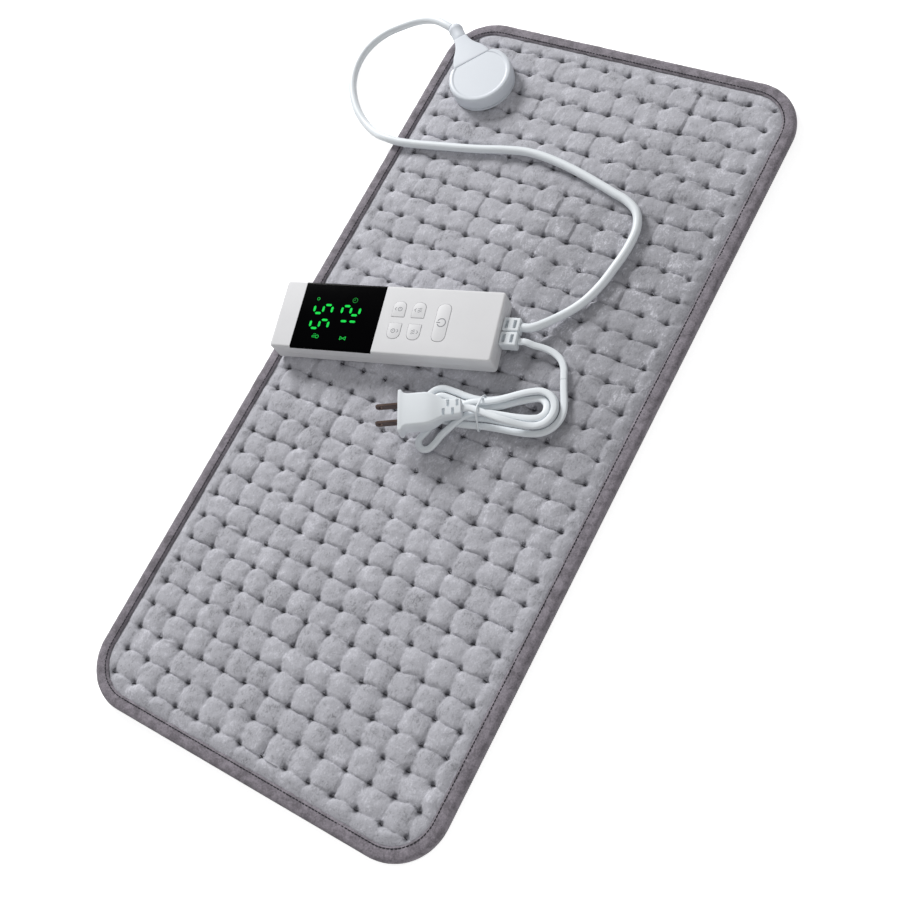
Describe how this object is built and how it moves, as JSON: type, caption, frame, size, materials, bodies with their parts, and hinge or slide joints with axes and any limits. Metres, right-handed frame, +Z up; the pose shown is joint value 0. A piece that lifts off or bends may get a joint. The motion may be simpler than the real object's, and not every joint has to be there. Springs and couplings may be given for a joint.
{
  "type": "heating pad with controller",
  "caption": "Flat quilted heating pad with a bound edge, a plug-in pad lead, a hand controller with a display and keys, and a mains cord in a tied hank.",
  "frame": {"origin": "middle of the pad's underside, on the surface that it lies on", "axes": "+X across the pad, +Y along its length towards the end with the connector, +Z up"},
  "size_m": [0.3663, 0.594, 0.0345],
  "materials": {
    "plush": "short pile plush",
    "back_cloth": "plain woven cloth",
    "tape": "satin tape",
    "felt": "felted fibre",
    "wire_sheath": "smooth silicone",
    "shell_plastic": "satin",
    "connector_plastic": "satin",
    "cord_plastic": "soft vinyl",
    "window_plastic": "polished",
    "dark_plastic": "moulded",
    "board_plastic": "laminate",
    "contact_metal": "drawn",
    "screw_steel": "plated"
  },
  "bodies": {
    "pad_and_controller": {"back_cover": "back_cloth", "heater_carrier": "felt", "heating_wire": "wire_sheath", "thermal_cut_out_1": "dark_plastic", "thermal_cut_out_2": "dark_plastic", "wadding": "felt", "quilted_cover": "plush", "edge_binding": "tape", "socket_base": "connector_plastic", "socket_cover": "connector_plastic", "socket_pin_1": "contact_metal", "socket_pin_2": "contact_metal", "socket_pin_3": "contact_metal", "socket_screw_1": "screw_steel", "socket_screw_2": "screw_steel", "upper_shell": "shell_plastic", "lower_shell": "shell_plastic", "display_window": "window_plastic", "led_display": "dark_plastic", "circuit_board": "board_plastic", "shell_screw_1": "screw_steel", "shell_screw_2": "screw_steel", "shell_screw_3": "screw_steel", "shell_screw_4": "screw_steel", "capacitor": "wire_sheath", "triac": "dark_plastic", "fuse": "screw_steel", "pad_lead_gland": "cord_plastic", "mains_gland": "cord_plastic", "pad_lead": "cord_plastic", "mains_lead": "cord_plastic", "mains_hank": "cord_plastic", "cord_tie": "cord_plastic", "mains_plug": "cord_plastic", "plug_blade_1": "contact_metal", "plug_blade_2": "contact_metal", "timer_down_key_switch": "dark_plastic", "timer_up_key_switch": "dark_plastic", "heat_down_key_switch": "dark_plastic", "heat_up_key_switch": "dark_plastic", "power_key_switch": "dark_plastic"},
    "pad_plug": {"pad_plug": "cord_plastic", "pad_plug_boot": "cord_plastic", "plug_contact_1": "contact_metal", "plug_contact_2": "contact_metal", "plug_contact_3": "contact_metal"},
    "timer_down_key": {"timer_down_key": "shell_plastic", "timer_down_key_plunger": "screw_steel"},
    "timer_up_key": {"timer_up_key": "shell_plastic", "timer_up_key_plunger": "screw_steel"},
    "heat_down_key": {"heat_down_key": "shell_plastic", "heat_down_key_plunger": "screw_steel"},
    "heat_up_key": {"heat_up_key": "shell_plastic", "heat_up_key_plunger": "screw_steel"},
    "power_key": {"power_key": "shell_plastic", "power_key_plunger": "screw_steel"}
  },
  "joints": [
    {"name": "timer_down_key_press", "type": "slide", "parent": "pad_and_controller", "child": "timer_down_key", "axis": [0, 0, -1], "range_m": [0, 0.0006], "stiffness_N_per_m": 2000},
    {"name": "timer_up_key_press", "type": "slide", "parent": "pad_and_controller", "child": "timer_up_key", "axis": [0, 0, -1], "range_m": [0, 0.0006], "stiffness_N_per_m": 2000},
    {"name": "heat_down_key_press", "type": "slide", "parent": "pad_and_controller", "child": "heat_down_key", "axis": [0, 0, -1], "range_m": [0, 0.0006], "stiffness_N_per_m": 2000},
    {"name": "heat_up_key_press", "type": "slide", "parent": "pad_and_controller", "child": "heat_up_key", "axis": [0, 0, -1], "range_m": [0, 0.0006], "stiffness_N_per_m": 2000},
    {"name": "power_key_press", "type": "slide", "parent": "pad_and_controller", "child": "power_key", "axis": [0, 0, -1], "range_m": [0, 0.0006], "stiffness_N_per_m": 2000},
    {"name": "pad_plug_pull", "type": "slide", "parent": "pad_and_controller", "child": "pad_plug", "axis": [-0.7694, 0.6388, 0], "range_m": [0, 0.014], "deforming": ["pad_lead"]}
  ]
}
